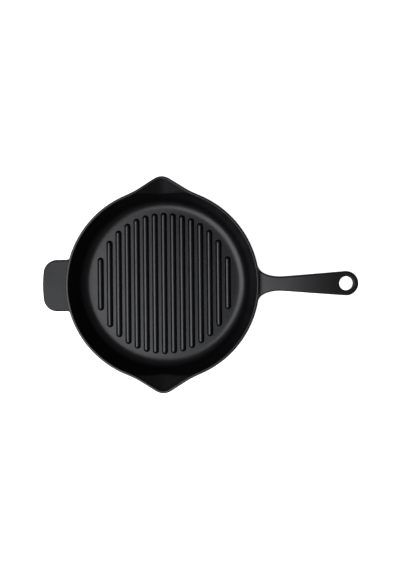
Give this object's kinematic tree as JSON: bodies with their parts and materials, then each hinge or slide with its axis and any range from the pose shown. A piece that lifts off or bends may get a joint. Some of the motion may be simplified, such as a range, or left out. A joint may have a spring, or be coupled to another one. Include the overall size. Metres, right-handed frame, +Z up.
{
  "type": "grill pan",
  "caption": "Round cast-iron grill pan with a ribbed floor, opposed pouring lips, a long rising handle ending in a hanging hole, and a short flat helper handle.",
  "frame": {"origin": "centre of the pan's flat underside, on the axis of its round rim", "axes": "+Z up out of the pan; +X along the long handle; the pouring lips lie on +Y and -Y"},
  "size_m": [0.4535, 0.3132, 0.0573],
  "materials": {
    "enamelled_iron": "matt to satin black enamel over cast iron, finely pebbled"
  },
  "bodies": {
    "root": {"pan_body": "enamelled_iron", "front_pouring_lip": "enamelled_iron", "back_pouring_lip": "enamelled_iron", "long_handle": "enamelled_iron", "helper_handle": "enamelled_iron", "grill_rib_01": "enamelled_iron", "grill_rib_02": "enamelled_iron", "grill_rib_03": "enamelled_iron", "grill_rib_04": "enamelled_iron", "grill_rib_05": "enamelled_iron", "grill_rib_06": "enamelled_iron", "grill_rib_07": "enamelled_iron", "grill_rib_08": "enamelled_iron", "grill_rib_09": "enamelled_iron", "grill_rib_10": "enamelled_iron", "grill_rib_11": "enamelled_iron", "grill_rib_12": "enamelled_iron", "grill_rib_13": "enamelled_iron", "grill_rib_14": "enamelled_iron", "grill_rib_15": "enamelled_iron"}
  },
  "joints": []
}
